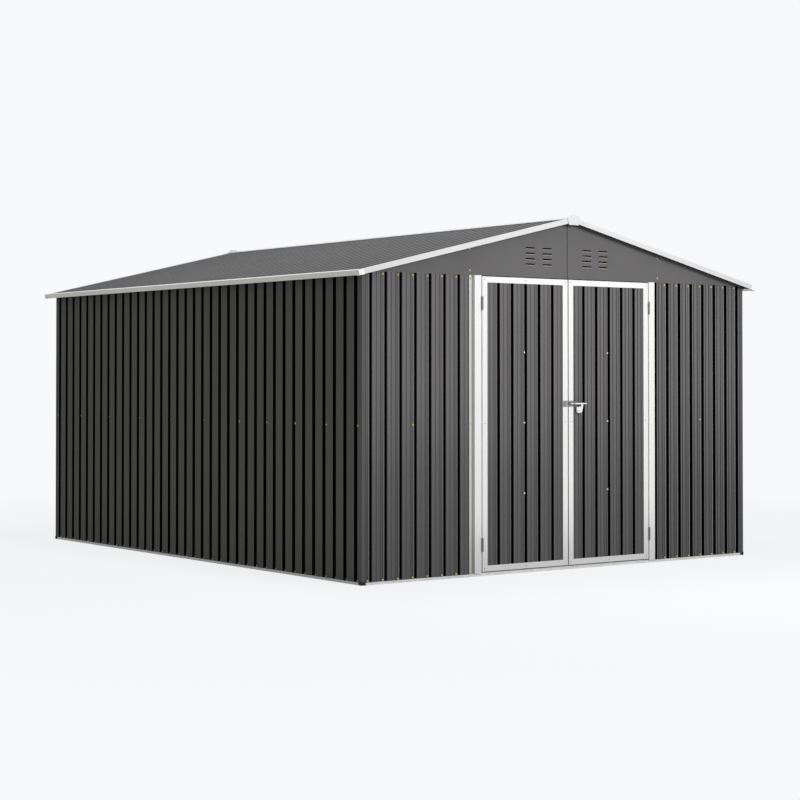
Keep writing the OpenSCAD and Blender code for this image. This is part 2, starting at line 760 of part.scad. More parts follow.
// Rod with a tapered tail, and a hasp tab that hangs under the guides
module slide_bolt()
    color(zinc) at_front() {
        tip_s = rod_drawn_s;
        end_s = tip_s + rod_l;
        tab_z = bolt_z - tab_drop;
        foot_s = tab_s - tab_reach;
        difference() {
            union() {
                translate([tip_s, rod_n, bolt_z]) rotate([0, 90, 0]) cylinder(r = rod_r, h = rod_l);
                translate([end_s, rod_n, bolt_z]) rotate([0, 90, 0])
                    cylinder(r1 = rod_r, r2 = rod_r / 2, h = tail_l);
                translate([0, rod_n + tab_t / 2, 0]) rotate([90, 0, 0]) linear_extrude(height = tab_t)
                    polygon([
                        [tab_s, bolt_z], [tab_s + tab_w, bolt_z], [tab_s + tab_w, bolt_z - 2 * tab_corner],
                        [tab_s + tab_w / 2, tab_z + tab_corner], [tab_s, tab_z], [foot_s + tab_corner, tab_z],
                        [foot_s, tab_z + tab_corner], [foot_s, tab_z + tab_foot_h], [tab_s, bolt_z - tab_w]
                    ]);
            }
            translate([foot_s + 2 * tab_hole_r, rod_n + over, tab_z + tab_hole_rise]) rotate([90, 0, 0])
                cylinder(r = tab_hole_r, h = 2 * over);
        }
    }

base_rail_front();
base_rail_back();
base_rail_left();
base_rail_right();
door_sill();
corner_post_front_left();
corner_post_front_right();
corner_post_back_left();
corner_post_back_right();
corner_feet();
left_wall();
right_wall();
back_wall();
front_wall_left();
front_wall_right();
mid_rails();
top_rail_front();
top_rail_back();
top_rail_left();
top_rail_right();
door_jamb_left();
door_jamb_right();
gable_front_left();
gable_front_right();
gable_back_left();
gable_back_right();
roof_left();
roof_right();
ridge_beam();
purlins();
ridge_cap();
ridge_end_plates();
eave_trim_left();
eave_trim_right();
verge_trim_front_left();
verge_trim_front_right();
verge_trim_back_left();
verge_trim_back_right();
eave_corner_caps();
jamb_hinges();
left_door_frame();
left_door_panel();
left_door_brace();
left_door_hinges();
bolt_keeper();
right_door_frame();
right_door_panel();
right_door_brace();
right_door_hinges();
bolt_bracket();
slide_bolt();
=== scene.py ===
"""Looks of a ribbed steel garden shed: sheet paint, white trim, zinc, screws, studio light and camera."""

import json
import math

import bmesh
import bpy
from mathutils import Matrix, Vector


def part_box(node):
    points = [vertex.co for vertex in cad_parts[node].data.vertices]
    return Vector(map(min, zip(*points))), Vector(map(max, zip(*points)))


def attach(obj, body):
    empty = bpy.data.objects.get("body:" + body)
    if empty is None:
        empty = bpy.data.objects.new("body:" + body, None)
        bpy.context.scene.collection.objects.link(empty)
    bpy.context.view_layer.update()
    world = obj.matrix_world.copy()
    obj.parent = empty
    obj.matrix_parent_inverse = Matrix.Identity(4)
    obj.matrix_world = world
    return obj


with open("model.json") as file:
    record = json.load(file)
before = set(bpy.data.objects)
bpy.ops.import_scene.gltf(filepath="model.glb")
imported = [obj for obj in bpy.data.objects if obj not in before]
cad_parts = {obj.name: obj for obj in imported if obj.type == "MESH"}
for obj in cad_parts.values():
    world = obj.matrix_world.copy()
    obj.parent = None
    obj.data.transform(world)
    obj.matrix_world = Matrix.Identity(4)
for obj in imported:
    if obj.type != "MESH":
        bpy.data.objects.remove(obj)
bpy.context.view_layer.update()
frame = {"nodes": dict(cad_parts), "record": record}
nodes = frame["nodes"]


def lowest(node):
    """A node's lowest corner at rest, in metres from the middle of the footprint."""
    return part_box(node)[0]


def highest(node):
    """A node's highest corner at rest."""
    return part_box(node)[1]


# Thickness of a folded plate and of a sheet, the gap between pieces, and the rise of a louvre's bead
PLATE, SHEET, FIT, BEAD = 0.0015, 0.0012, 0.0002, 0.0015
# Planes of the sheets' pans, and of the faces that carry screws
FRONT_PAN = lowest("front_wall_left").y
BACK_PAN = highest("back_wall").y
SIDE_PAN = highest("right_wall").x
DOOR_PAN = lowest("left_door_panel").y
DOOR_FACE = lowest("left_door_frame").y
WALL_FACE = lowest("base_rail_front").y
GABLE_FACE = highest("gable_back_left").y - BEAD
BOLT_PLATE_FACE = DOOR_FACE - FIT - PLATE
# Where the roof's underside meets a side wall, its rise to the ridge, and a rib's crest over it
EAVE_X = highest("base_rail_right").x
EAVE_Z = highest("right_wall").z + FIT
RIDGE_RISE, RIB_HEIGHT = 0.340, 0.009
PITCH = math.atan(RIDGE_RISE / EAVE_X)
RIB_CREST = RIB_HEIGHT + SHEET


class Wire:
    """A node's socket that takes part in Python maths."""

    def __init__(self, finish, socket):
        self.finish = finish
        self.socket = socket

    def of(self, output):
        """Another output of the same node."""
        return Wire(self.finish, self.socket.node.outputs[output])

    def maths(self, operation, *values):
        return self.finish.add("ShaderNodeMath", {"operation": operation}, dict(enumerate(values)))

    def __add__(self, other):
        return self.maths("ADD", self, other)

    def __radd__(self, other):
        return self.maths("ADD", other, self)

    def __sub__(self, other):
        return self.maths("SUBTRACT", self, other)

    def __rsub__(self, other):
        return self.maths("SUBTRACT", other, self)

    def __mul__(self, other):
        return self.maths("MULTIPLY", self, other)

    def __rmul__(self, other):
        return self.maths("MULTIPLY", other, self)

    def __lt__(self, other):
        return self.maths("LESS_THAN", self, other)

    def __gt__(self, other):
        return self.maths("GREATER_THAN", self, other)

    def __abs__(self):
        return self.maths("ABSOLUTE", self)

    def fract(self):
        return self.maths("FRACT", self)


class Finish:
    """The nodes of one material, or of the world."""

    def __init__(self, owner):
        self.owner = owner
        owner.use_nodes = True
        self.tree = owner.node_tree
        self.tree.nodes.clear()

    def add(self, kind, settings=None, inputs=None, out=None):
        """A node of this kind. Settings are set first, then the sockets' values or links."""
        node = self.tree.nodes.new(kind)
        for name, value in (settings or {}).items():
            if name == "stops":
                for element, (place, colour) in zip(self.ramp(node, len(value)), value):
                    element.position = place
                    element.color = colour
            else:
                setattr(node, name, value)
        for name, value in (inputs or {}).items():
            socket = node.inputs[name] if isinstance(name, int) else next(
                s for s in node.inputs if s.name == name and s.enabled)
            if isinstance(value, Wire):
                self.tree.links.new(value.socket, socket)
            else:
                socket.default_value = value
        if not node.outputs:
            return None
        return Wire(self, node.outputs[out] if out else next(s for s in node.outputs if s.enabled))

    @staticmethod
    def ramp(node, count):
        """A colour ramp's stops, as many as asked for."""
        elements = node.color_ramp.elements
        while len(elements) < count:
            elements.new(1.0)
        return elements

    def place(self):
        """Rest coordinates of the piece, in metres."""
        return self.add("ShaderNodeTexCoord", out="Object")

    def facing(self):
        """The way that the surface faces, along the three axes."""
        return self.axes(self.add("ShaderNodeTexCoord", out="Normal"))

    def axes(self, vector):
        split = self.add("ShaderNodeSeparateXYZ", None, {"Vector": vector})
        return split.of("X"), split.of("Y"), split.of("Z")

    def noise(self, scale, stretch=(1, 1, 1), detail=2.0):
        """Cloudy values about 0.5, stretched along the axes."""
        spread = self.add("ShaderNodeVectorMath", {"operation": "MULTIPLY"}, {0: self.place(), 1: stretch})
        return self.add("ShaderNodeTexNoise", None, {"Vector": spread, "Scale": scale, "Detail": detail})

    def step(self, value, low, high):
        """From 0 to 1, smoothly, as the value goes from low to high."""
        return self.add("ShaderNodeMapRange", {"interpolation_type": "SMOOTHSTEP"},
                        {"Value": value, "From Min": low, "From Max": high})

    def mix(self, share, first, second):
        """A colour between two colours."""
        return self.add("ShaderNodeMix", {"data_type": "RGBA"}, {"Factor": share, "A": first, "B": second})

    def bump(self, height, distance, strength=1.0):
        return self.add("ShaderNodeBump", None,
                        {"Height": height, "Distance": distance, "Strength": strength})

    def shown(self):
        """1 for what the camera, a reflection or glass shows, and 0 for light that falls on the shed."""
        rays = self.add("ShaderNodeLightPath")
        return rays.of("Is Camera Ray") + rays.of("Is Glossy Ray") + rays.of("Is Transmission Ray")

    def blend(self, share, first, second):
        """A shader between two shaders."""
        return self.add("ShaderNodeMixShader", None, {0: share, 1: first, 2: second})

    def close(self, shader, kind="ShaderNodeOutputMaterial"):
        self.add(kind, None, {"Surface": shader})
        return self.owner


def new_finish(name):
    return Finish(bpy.data.materials.new(name))


def rgba(red, green, blue):
    return (red, green, blue, 1.0)


def grey(level):
    return rgba(level, level, level)


def shade(colour, factor):
    return rgba(*(channel * factor for channel in colour))


# Wall grooves: how many a sheet has, their spacing, the outermost one at the front and the back, the first
# one on each other sheet, and how far a groove's painted shadow reaches from its middle on the shaded
# sides, and how softly it ends
FRONT_GROOVES, SIDE_GROOVES, BACK_GROOVES = 7, 36, 29
GROOVE_PITCH = 0.1
END_GROOVE_X = 1.399
BACK_PITCH = 2 * END_GROOVE_X / (BACK_GROOVES - 1)
FRONT_GROOVE_X = END_GROOVE_X - GROOVE_PITCH * (FRONT_GROOVES - 1)
SIDE_GROOVE_Y = -GROOVE_PITCH * (SIDE_GROOVES - 1) / 2
DOOR_MIDDLE_X = (lowest("right_door_panel").x + highest("right_door_panel").x) / 2
DOOR_GROOVE_X = DOOR_MIDDLE_X - 2 * GROOVE_PITCH
GROOVE_SHADOW_REACH, GROOVE_SHADOW_BLUR = 0.0160, 0.0008
# Depths between which a groove's floor starts, and the widths over which its lit part and its shadow fade
GROOVE_FLOOR = (0.0078, 0.0086)
LIT_FADE, DARK_FADE = 0.0045, 0.0008
# Painted sheen and shade across a pan: its dimness against its brightest band, by the share of the way
# from one groove to the next
PAN_SHEEN_DIMS = (
    (0.14, 0.0), (0.22, 0.02), (0.34, 0.10), (0.50, 0.03),
    (0.60, 0.12), (0.72, 0.14), (0.80, 0.30), (0.86, 0.42),
)
# Flutes: their places and edges as shares of the way between grooves, their depth, and how much painted
# shade darkens them.
# On the front they follow a groove to the left or to the right, and their painted shade is fainter near
# the ground
LEFTWARD, RIGHTWARD = -1, 1
FLUTE_SHARES, FLUTE_EDGE_SHARES = (0.32, 0.61), (0.028, 0.046)
FLUTE_DEPTH = 0.0011
FRONT_FLUTE_SHADE = {LEFTWARD: 0.36, RIGHTWARD: 0.50}
LOW_FLUTE_LOSS = 0.6
SIDE_FLUTE_SHADE = 0.15
# Painted shade, darker towards the front's foot, fades out between these heights
FRONT_FOOT_SHADE, FOOT_FADE = 0.25, (0.25, 1.15)
# Roof ribs: the length of a pair along the roof, the middle of one bold rib, the painted shadow on a flank
# by the depth under the crest, and how bold and faint ribs differ, the faint crests being dimmed by
# painted shade
RIB_PAIR, BOLD_RIB_Y = 0.104, -1.820
FLANK_SHADOW_FROM, FLANK_SHADOW_TO = (0.0001, 0.0006), (0.0026, 0.0045)
FAINT_FLANK_SHADE, BOLD_FLANK_SHADE, FAINT_CREST_SHADE = 0.05, 1.0, 0.55
# Where painted shade falls along the gables' middle seam, and where the louvres' beads carry a painted
# highlight and their slots painted shade, in front of and behind the sheet's face
SEAM_EDGE = (0.0008, 0.0030)
BEAD_RISE, SLOT_DEPTH = (0.0001, 0.0005), (0.0010, 0.0003)
# How far a normal has to lean outwards to count as the sheet's outer side
OUTWARD, UPWARD = 0.05, 0.02
# Stretch of the roll streaks in a sheet's paint
FRONT_STREAKS, SIDE_STREAKS = (46, 1, 0.5), (1, 46, 0.5)
GABLE_STREAKS, ROOF_STREAKS, POST_STREAKS = (6, 6, 6), (0.6, 30, 0.6), (8, 8, 1)

# Colours in linear light
# A darker copy of the sheets' charcoal, which paints the shade on the sides and the back
SHADED_SIDE_GREY = (0.118, 0.117, 0.113)
GABLE_GREY = (0.141, 0.137, 0.140)
PAN_GREY = (0.171, 0.166, 0.170)
# Painted highlight on the louvres' beads
BEAD_HIGHLIGHT = (0.36, 0.34, 0.29)
GROOVE_GLEAM = (0.25, 0.245, 0.25)
# A lighter copy of the sheets' charcoal, which paints the light falling on the roof
LIT_ROOF_GREY = (0.262, 0.261, 0.266)
POST_GREY = (0.116, 0.114, 0.117)
FOOT_GREY = (0.040, 0.040, 0.041)
# Near black that paints deep shadow in the grooves, the gable seam, the louvre slots and the rib flanks
PAINTED_SHADOW_BLACK = (0.0015, 0.0015, 0.0017)
DOOR_WHITE = (0.88, 0.88, 0.87)
# Painted shade that the white coat goes to near the ground
LOW_SHADE_WHITE = (0.30, 0.30, 0.30)
GRIME = (0.42, 0.40, 0.37)
STRIP_SHADE = (0.06, 0.06, 0.05)
# A darker copy of the trim white, which paints the shade on the verge trims
SHADED_VERGE_WHITE = (0.70, 0.70, 0.70)
# A lighter copy of the trim white, which paints more light on the eave trims
LIT_EAVE_WHITE = (0.94, 0.94, 0.89)
ZINC = (0.72, 0.72, 0.71)
# A darker copy of the zinc, which paints the shade on the side and back base rails
SHADED_ZINC = (0.54, 0.54, 0.53)
HINGE_GREY = (0.17, 0.17, 0.175)
BOLT_BRIGHT = (0.86, 0.86, 0.85)
KEEPER_GREY = (0.34, 0.34, 0.34)
SCREW_LEMON = (0.62, 0.56, 0.16)
# A darker copy of the lemon plating, which paints the shade on most side wall screws
SHADED_LEMON = (0.27, 0.25, 0.11)
SCREW_WHITE = (0.82, 0.82, 0.81)
SCREW_GREY = (0.34, 0.34, 0.34)
BACKDROP = rgba(0.939, 0.944, 0.962)

# Paint on sheet steel: gloss, spread of tone, and scales and heights of clouds, grain, waves and peel
SHEET_SPECULAR, SHEET_ROUGHNESS, ROOF_ROUGHNESS, POST_ROUGHNESS = 0.03, 0.55, 0.75, 0.5
TONE_SPREAD = 0.06
CLOUD_SCALE, GRAIN_SCALE, STREAK_SCALE = 2.2, 240.0, 1.0
WAVE_SCALE, WAVE_HEIGHT = 5.0, 0.0012
PEEL_SCALE, PEEL_HEIGHT, PEEL_STRENGTH = 850.0, 0.00012, 0.5
# White coat: gloss, noise scales, and the heights up to which it carries painted shade and grime
COAT_SPECULAR, COAT_ROUGHNESS = 0.35, 0.42
COAT_CLOUD_SCALE, SPECKLE_SCALE = 6.0, 420.0
COAT_PEEL_SCALE, COAT_PEEL_HEIGHT, COAT_PEEL_STRENGTH = 650.0, 0.00015, 0.6
LOW_SHADE_SHARE, LOW_SHADE_FADE = 0.32, (0.02, 0.40)
GRIME_SHARE, GRIME_TOP = 0.10, 0.5
# Zinc and plating: noise scales and heights of spangle, bloom, grain, brush marks and rubbed spots
SPANGLE_SCALE, BLOOM_SCALE, ZINC_GRAIN_SCALE, SPANGLE_HEIGHT = 70.0, 9.0, 500.0, 0.00006
BRUSH_SCALE, RUB_SCALE, BRUSH_HEIGHT = 300.0, 45.0, 0.00008


def painted(finish, colour, streak_stretch, roughness=SHEET_ROUGHNESS, dim=None, wear_and_highlight=None):
    """Coil paint on sheet steel: cloudy tone, roll streaks, orange peel and slight waves in the sheet.

    It goes to black by dim, which paints shade, and the last argument is a share and the colour that it
    goes to there, which paints a highlight."""
    clouds = finish.noise(CLOUD_SCALE, detail=3.0)
    grain = finish.noise(GRAIN_SCALE)
    streaks = finish.noise(STREAK_SCALE, streak_stretch)
    tone = finish.step(0.45 * clouds + 0.2 * grain + 0.35 * streaks, 0.3, 0.7)
    base = finish.mix(tone, shade(colour, 1 - TONE_SPREAD), shade(colour, 1 + TONE_SPREAD))
    if dim:
        base = finish.mix(dim, base, grey(0))
    if wear_and_highlight:
        base = finish.mix(wear_and_highlight[0], base, rgba(*wear_and_highlight[1]))
    waves = finish.bump(finish.noise(WAVE_SCALE, detail=1.0), WAVE_HEIGHT)
    peel = finish.add("ShaderNodeBump", None, {
        "Height": finish.noise(PEEL_SCALE),
        "Distance": PEEL_HEIGHT,
        "Strength": PEEL_STRENGTH,
        "Normal": waves})
    return finish.add("ShaderNodeBsdfPrincipled", None, {
        "Base Color": base,
        "Roughness": roughness + 0.16 * (clouds - 0.5) + 0.1 * (grain - 0.5),
        "Specular IOR Level": SHEET_SPECULAR,
        "Normal": peel})


def shadowed(finish, paint, share):
    """Paint that goes over to deep shadow in its hollows."""
    shadow_black = finish.add("ShaderNodeBsdfDiffuse", None, {"Color": rgba(*PAINTED_SHADOW_BLACK)})
    return finish.close(finish.blend(share, paint, shadow_black))


def from_groove(along, groove, pitch):
    """Distance from the middle of the nearest groove, negative before it."""
    return ((along - groove) * (1 / pitch) + 0.5).fract() * pitch - 0.5 * pitch


def front_sheet_paint(name, plane, groove_x, way, dark_from, lit_until, reach=None, nook=None):
    """Paint of a front sheet: soft bands of painted sheen and shade on the pans, painted shade in the
    flutes and towards the foot, and painted shadow in the grooves with a strip of painted light on their
    floor.

    The flutes follow each groove in the given way along X. Painted shadow starts at the depth dark_from,
    and the groove's floor carries painted light up to lit_until from its middle. Past the middle up to the
    reach, and in the nook, a strip along X, painted shadow lies on the pan too."""
    finish = new_finish(name)
    x, y, z = finish.axes(finish.place())
    outside = finish.facing()[1] < -OUTWARD
    depth = y - plane
    sheen_bands = finish.add(
        "ShaderNodeValToRGB", {"stops": [(place, grey(level)) for place, level in PAN_SHEEN_DIMS]},
        {"Fac": ((x - groove_x) * (1 / GROOVE_PITCH)).fract()})
    along = ((x - groove_x) * (way / GROOVE_PITCH)).fract()
    flutes = sum(1 - finish.step(abs(along - share), *FLUTE_EDGE_SHARES) for share in FLUTE_SHARES)
    low = 1 - finish.step(z, *FOOT_FADE)
    dim = sheen_bands + FRONT_FLUTE_SHADE[way] * flutes * (1 - LOW_FLUTE_LOSS * low) + FRONT_FOOT_SHADE * low
    past = from_groove(x, groove_x, GROOVE_PITCH)
    lit = 1 - finish.step(past, lit_until - LIT_FADE, lit_until)
    gleam = finish.step(depth, *GROOVE_FLOOR) * lit * outside
    paint = painted(finish, PAN_GREY, FRONT_STREAKS, dim=dim * outside, wear_and_highlight=(gleam, GROOVE_GLEAM))
    hollow = finish.step(depth, dark_from, 2 * dark_from + DARK_FADE) * outside
    shadow = hollow * (1 - gleam)
    if reach:
        shadow = shadow + (1 - shadow) * outside * (past > lit_until) * (past < reach)
    if nook:
        shadow = shadow + (1 - shadow) * outside * (x > nook[0]) * (x < nook[1])
    return shadowed(finish, paint, shadow)


def shaded_sheet_paint(name, across, groove, pitch, streaks):
    """Paint of a sheet on the shaded sides, in a darker grey that paints their shade: painted shade in the
    flutes, and painted shadow over the grooves from edge to edge.
    """
    finish = new_finish(name)
    place = dict(zip("XYZ", finish.axes(finish.place())))
    facing = dict(zip("XYZ", finish.facing()))
    out, pan = ("X", SIDE_PAN) if across == "Y" else ("Y", BACK_PAN)
    outside = (facing[out] * place[out]) > OUTWARD
    dim = SIDE_FLUTE_SHADE * finish.step(pan - abs(place[out]), 0.0, FLUTE_DEPTH)
    paint = painted(finish, SHADED_SIDE_GREY, streaks, dim=dim * outside)
    away = abs(from_groove(place[across], groove, pitch))
    groove_shadow = 1 - finish.step(away, GROOVE_SHADOW_REACH - GROOVE_SHADOW_BLUR, GROOVE_SHADOW_REACH + GROOVE_SHADOW_BLUR)
    return shadowed(finish, paint, groove_shadow * outside)


def gable_sheet_paint(name):
    """Gable paint with painted shade along the seam in the middle and in the louvre slots, and a painted
    highlight on the beads under them.
    """
    finish = new_finish(name)
    x, y, _ = finish.axes(finish.place())
    outside = (finish.facing()[1] * y) > OUTWARD
    bead = finish.step(abs(y), *(GABLE_FACE + rise for rise in BEAD_RISE))
    slot = (1 - finish.step(abs(y), *(GABLE_FACE - depth for depth in SLOT_DEPTH))) * outside
    seam = 1 - finish.step(abs(x), *SEAM_EDGE)
    paint = painted(finish, GABLE_GREY, GABLE_STREAKS, wear_and_highlight=(bead, BEAD_HIGHLIGHT))
    return shadowed(finish, paint, seam + slot)


def roof_sheet_paint(name):
    """Roof paint with shadow just under each rib's crest, which draws the ribs in a view along the roof.

    Every second rib is bolder, and the crests of the others carry painted shade."""
    finish = new_finish(name)
    x, y, z = finish.axes(finish.place())
    lift = math.sin(PITCH) * (abs(x) - EAVE_X) + math.cos(PITCH) * (z - EAVE_Z)
    below = RIB_CREST - lift
    up = finish.facing()[2] > UPWARD
    flank = finish.step(below, *FLANK_SHADOW_FROM) * (1 - finish.step(below, *FLANK_SHADOW_TO)) * up
    bold = abs(((y - BOLD_RIB_Y) * (1 / RIB_PAIR)).fract() - 0.5) > 0.25
    paint = painted(finish, LIT_ROOF_GREY, ROOF_STREAKS, ROOF_ROUGHNESS, FAINT_CREST_SHADE * (1 - bold))
    flank_shade = FAINT_FLANK_SHADE + (BOLD_FLANK_SHADE - FAINT_FLANK_SHADE) * bold
    return shadowed(finish, paint, flank * flank_shade)


def post_paint(name, colour):
    """Plain paint of the corner posts and their feet."""
    finish = new_finish(name)
    return finish.close(painted(finish, colour, POST_STREAKS, POST_ROUGHNESS))


def white_coat(name, colour, strips=()):
    """White powder coat with orange peel, and painted shade that deepens towards the ground.

    Each strip is a range along X and the dimness of the painted shade on it."""
    finish = new_finish(name)
    x, _, height = finish.axes(finish.place())
    clouds = finish.noise(COAT_CLOUD_SCALE, detail=4.0)
    speckle = finish.noise(SPECKLE_SCALE)
    grime = (1 - finish.step(height, 0.0, GRIME_TOP)) * finish.step(clouds, 0.42, 0.75)
    clean = finish.mix(clouds, shade(colour, 0.97), shade(colour, 1.02))
    # Painted shade towards the ground
    low_shade = finish.mix(LOW_SHADE_SHARE * (1 - finish.step(height, *LOW_SHADE_FADE)), clean, rgba(*LOW_SHADE_WHITE))
    base = finish.mix(GRIME_SHARE * grime, low_shade, rgba(*GRIME))
    for low, high, dim in strips:
        base = finish.mix(dim * (x > low) * (x < high), base, rgba(*STRIP_SHADE))
    return finish.close(finish.add("ShaderNodeBsdfPrincipled", None, {
        "Base Color": base,
        "Roughness": COAT_ROUGHNESS + 0.1 * (speckle - 0.5) + 0.1 * grime,
        "Specular IOR Level": COAT_SPECULAR,
        "Normal": finish.bump(finish.noise(COAT_PEEL_SCALE), COAT_PEEL_HEIGHT, COAT_PEEL_STRENGTH)}))


def galvanised(name, colour):
    """Hot-dip zinc with its spangle and a dull grey bloom."""
    finish = new_finish(name)
    spangle = finish.add(
        "ShaderNodeTexVoronoi", None, {"Vector": finish.place(), "Scale": SPANGLE_SCALE}, out="Color")
    flake = finish.axes(spangle)[0]
    bloom = finish.step(finish.noise(BLOOM_SCALE, detail=4.0), 0.4, 0.7)
    base = finish.mix(0.6 * flake + 0.4 * bloom, shade(colour, 0.86), shade(colour, 1.1))
    grain = finish.noise(ZINC_GRAIN_SCALE)
    return finish.close(finish.add("ShaderNodeBsdfPrincipled", None, {
        "Base Color": base,
        "Metallic": 0.2,
        "Roughness": 0.36 + 0.14 * flake + 0.12 * bloom,
        "Normal": finish.bump(0.7 * flake + 0.3 * grain, SPANGLE_HEIGHT)}))


def plated(name, colour, roughness, metallic, stretch=(1, 1, 12)):
    """Zinc plating over brushed steel, a little darker where it is rubbed."""
    finish = new_finish(name)
    brush = finish.noise(BRUSH_SCALE, stretch, detail=3.0)
    wear_and_highlight = finish.step(finish.noise(RUB_SCALE, detail=4.0), 0.5, 0.72)
    base = finish.mix(0.5 * brush + 0.35 * wear_and_highlight, shade(colour, 1.08), shade(colour, 0.72))
    return finish.close(finish.add("ShaderNodeBsdfPrincipled", None, {
        "Base Color": base,
        "Metallic": metallic,
        "Roughness": roughness + 0.16 * (brush - 0.5) + 0.1 * wear_and_highlight,
        "Normal": finish.bump(brush, BRUSH_HEIGHT)}))


left_front_paint = front_sheet_paint(
    "left_front_sheet_paint", FRONT_PAN, -FRONT_GROOVE_X, LEFTWARD, dark_from=0.0020, lit_until=0.0)
# The right front sheet also gets painted shadow past each groove and in a strip beside the right jamb
right_front_paint = front_sheet_paint(
    "right_front_sheet_paint", FRONT_PAN, FRONT_GROOVE_X, RIGHTWARD, dark_from=0.0004, lit_until=0.0045,
    reach=0.0178, nook=(0.690, 0.7125))
left_door_paint = front_sheet_paint(
    "left_door_sheet_paint", DOOR_PAN, -DOOR_GROOVE_X, LEFTWARD, dark_from=0.0010, lit_until=0.0)
right_door_paint = front_sheet_paint(
    "right_door_sheet_paint", DOOR_PAN, DOOR_GROOVE_X, RIGHTWARD, dark_from=0.0010, lit_until=0.0)
side_paint = shaded_sheet_paint("side_sheet_paint", "Y", SIDE_GROOVE_Y, GROOVE_PITCH, SIDE_STREAKS)
back_paint = shaded_sheet_paint("back_sheet_paint", "X", -END_GROOVE_X, BACK_PITCH, FRONT_STREAKS)
gable_paint = gable_sheet_paint("gable_sheet_paint")
roof_paint = roof_sheet_paint("roof_sheet_paint")
corner_paint = post_paint("post_paint", POST_GREY)
foot_paint = post_paint("foot_paint", FOOT_GREY)
# Shaded strips of the jambs and the door frames: a range along X and how dim it is
LEFT_JAMB_STRIPS = ((-0.74, -0.7108, 0.34), (-0.7108, -0.6915, 0.56))
RIGHT_JAMB_STRIPS = ((0.6415, 0.6450, 0.35),)
LEFT_DOOR_STRIPS = ((-0.6400, -0.6358, 0.35),)
RIGHT_DOOR_STRIPS = ((0.0018, 0.0046, 0.75),)
left_jamb_coat = white_coat("left_jamb_white_coat", DOOR_WHITE, LEFT_JAMB_STRIPS)
right_jamb_coat = white_coat("right_jamb_white_coat", DOOR_WHITE, RIGHT_JAMB_STRIPS)
left_frame_coat = white_coat("left_door_white_coat", DOOR_WHITE, LEFT_DOOR_STRIPS)
right_frame_coat = white_coat("right_door_white_coat", DOOR_WHITE, RIGHT_DOOR_STRIPS)
verge_coat = white_coat("verge_white_coat", SHADED_VERGE_WHITE)
eave_coat = white_coat("eave_white_coat", LIT_EAVE_WHITE)
zinc = galvanised("galvanised_steel", ZINC)
# Zinc of the side and back base rails, darker as painted shade
shaded_zinc = galvanised("shaded_galvanised_steel", SHADED_ZINC)
ALONG_BOLT = (12, 1, 1)
hinge_plating = plated("hinge_plating", HINGE_GREY, roughness=0.42, metallic=0.8)
bolt_plating = plated("bolt_plating", BOLT_BRIGHT, roughness=0.3, metallic=0.6, stretch=ALONG_BOLT)
keeper_plating = plated("keeper_plating", KEEPER_GREY, roughness=0.36, metallic=0.5, stretch=ALONG_BOLT)
lemon_plating = plated("lemon_screw_plating", SCREW_LEMON, roughness=0.45, metallic=0.0)
# Darker lemon plating that paints shade on the side wall screws
shaded_lemon_plating = plated("shaded_lemon_screw_plating", SHADED_LEMON, roughness=0.55, metallic=0.0)
white_screw_coat = plated("white_screw_coat", SCREW_WHITE, roughness=0.4, metallic=0.1)
grey_plating = plated("grey_screw_plating", SCREW_GREY, roughness=0.4, metallic=0.3)

SLOT_FINISHES = {
    "walls_charcoal": gable_paint, "roof_charcoal": roof_paint, "trim_white": verge_coat,
    "posts_dark": corner_paint, "steel_zinc": zinc,
    "hinge_grey": hinge_plating, "bolt_bright": bolt_plating,
}
NODE_FINISHES = {
    "front_wall_left": left_front_paint, "front_wall_right": right_front_paint,
    "left_wall": side_paint, "right_wall": side_paint, "back_wall": back_paint,
    "left_door_panel": left_door_paint, "right_door_panel": right_door_paint,
    "door_jamb_left": left_jamb_coat, "door_jamb_right": right_jamb_coat,
    "left_door_frame": left_frame_coat, "right_door_frame": right_frame_coat,
    "eave_trim_left": eave_coat, "eave_trim_right": eave_coat, "eave_corner_caps": eave_coat,
    "base_rail_left": shaded_zinc, "base_rail_right": shaded_zinc, "base_rail_back": shaded_zinc,
    "bolt_keeper": keeper_plating, "bolt_bracket": keeper_plating, "corner_feet": foot_paint,
}
for part in frame["record"]["subparts"]:
    node = nodes[part["node"]]
    node.data.materials.clear()
    node.data.materials.append(NODE_FINISHES.get(part["node"], SLOT_FINISHES[part["material_slot"]]))


# Screw heads: sides and first corner of their rings, each ring as a share of the radius and of the height,
# the cross recess in shares of the radius, and its rim and floor given as the rings are
HEAD_SIDES, FIRST_CORNER = 24, 15
HEAD_RINGS = ((1, 0), (1, 0.28), (0.93, 0.62), (0.78, 0.88), (0.6, 1))
CROSS_ARM, CROSS_SLOT = 0.52, 0.14
CROSS_RIM, CROSS_FLOOR = (1, 1.03), (0.75, 0.45)
GOLDEN_TURN = math.radians(137.5)
SHARP_ANGLE = math.radians(38)


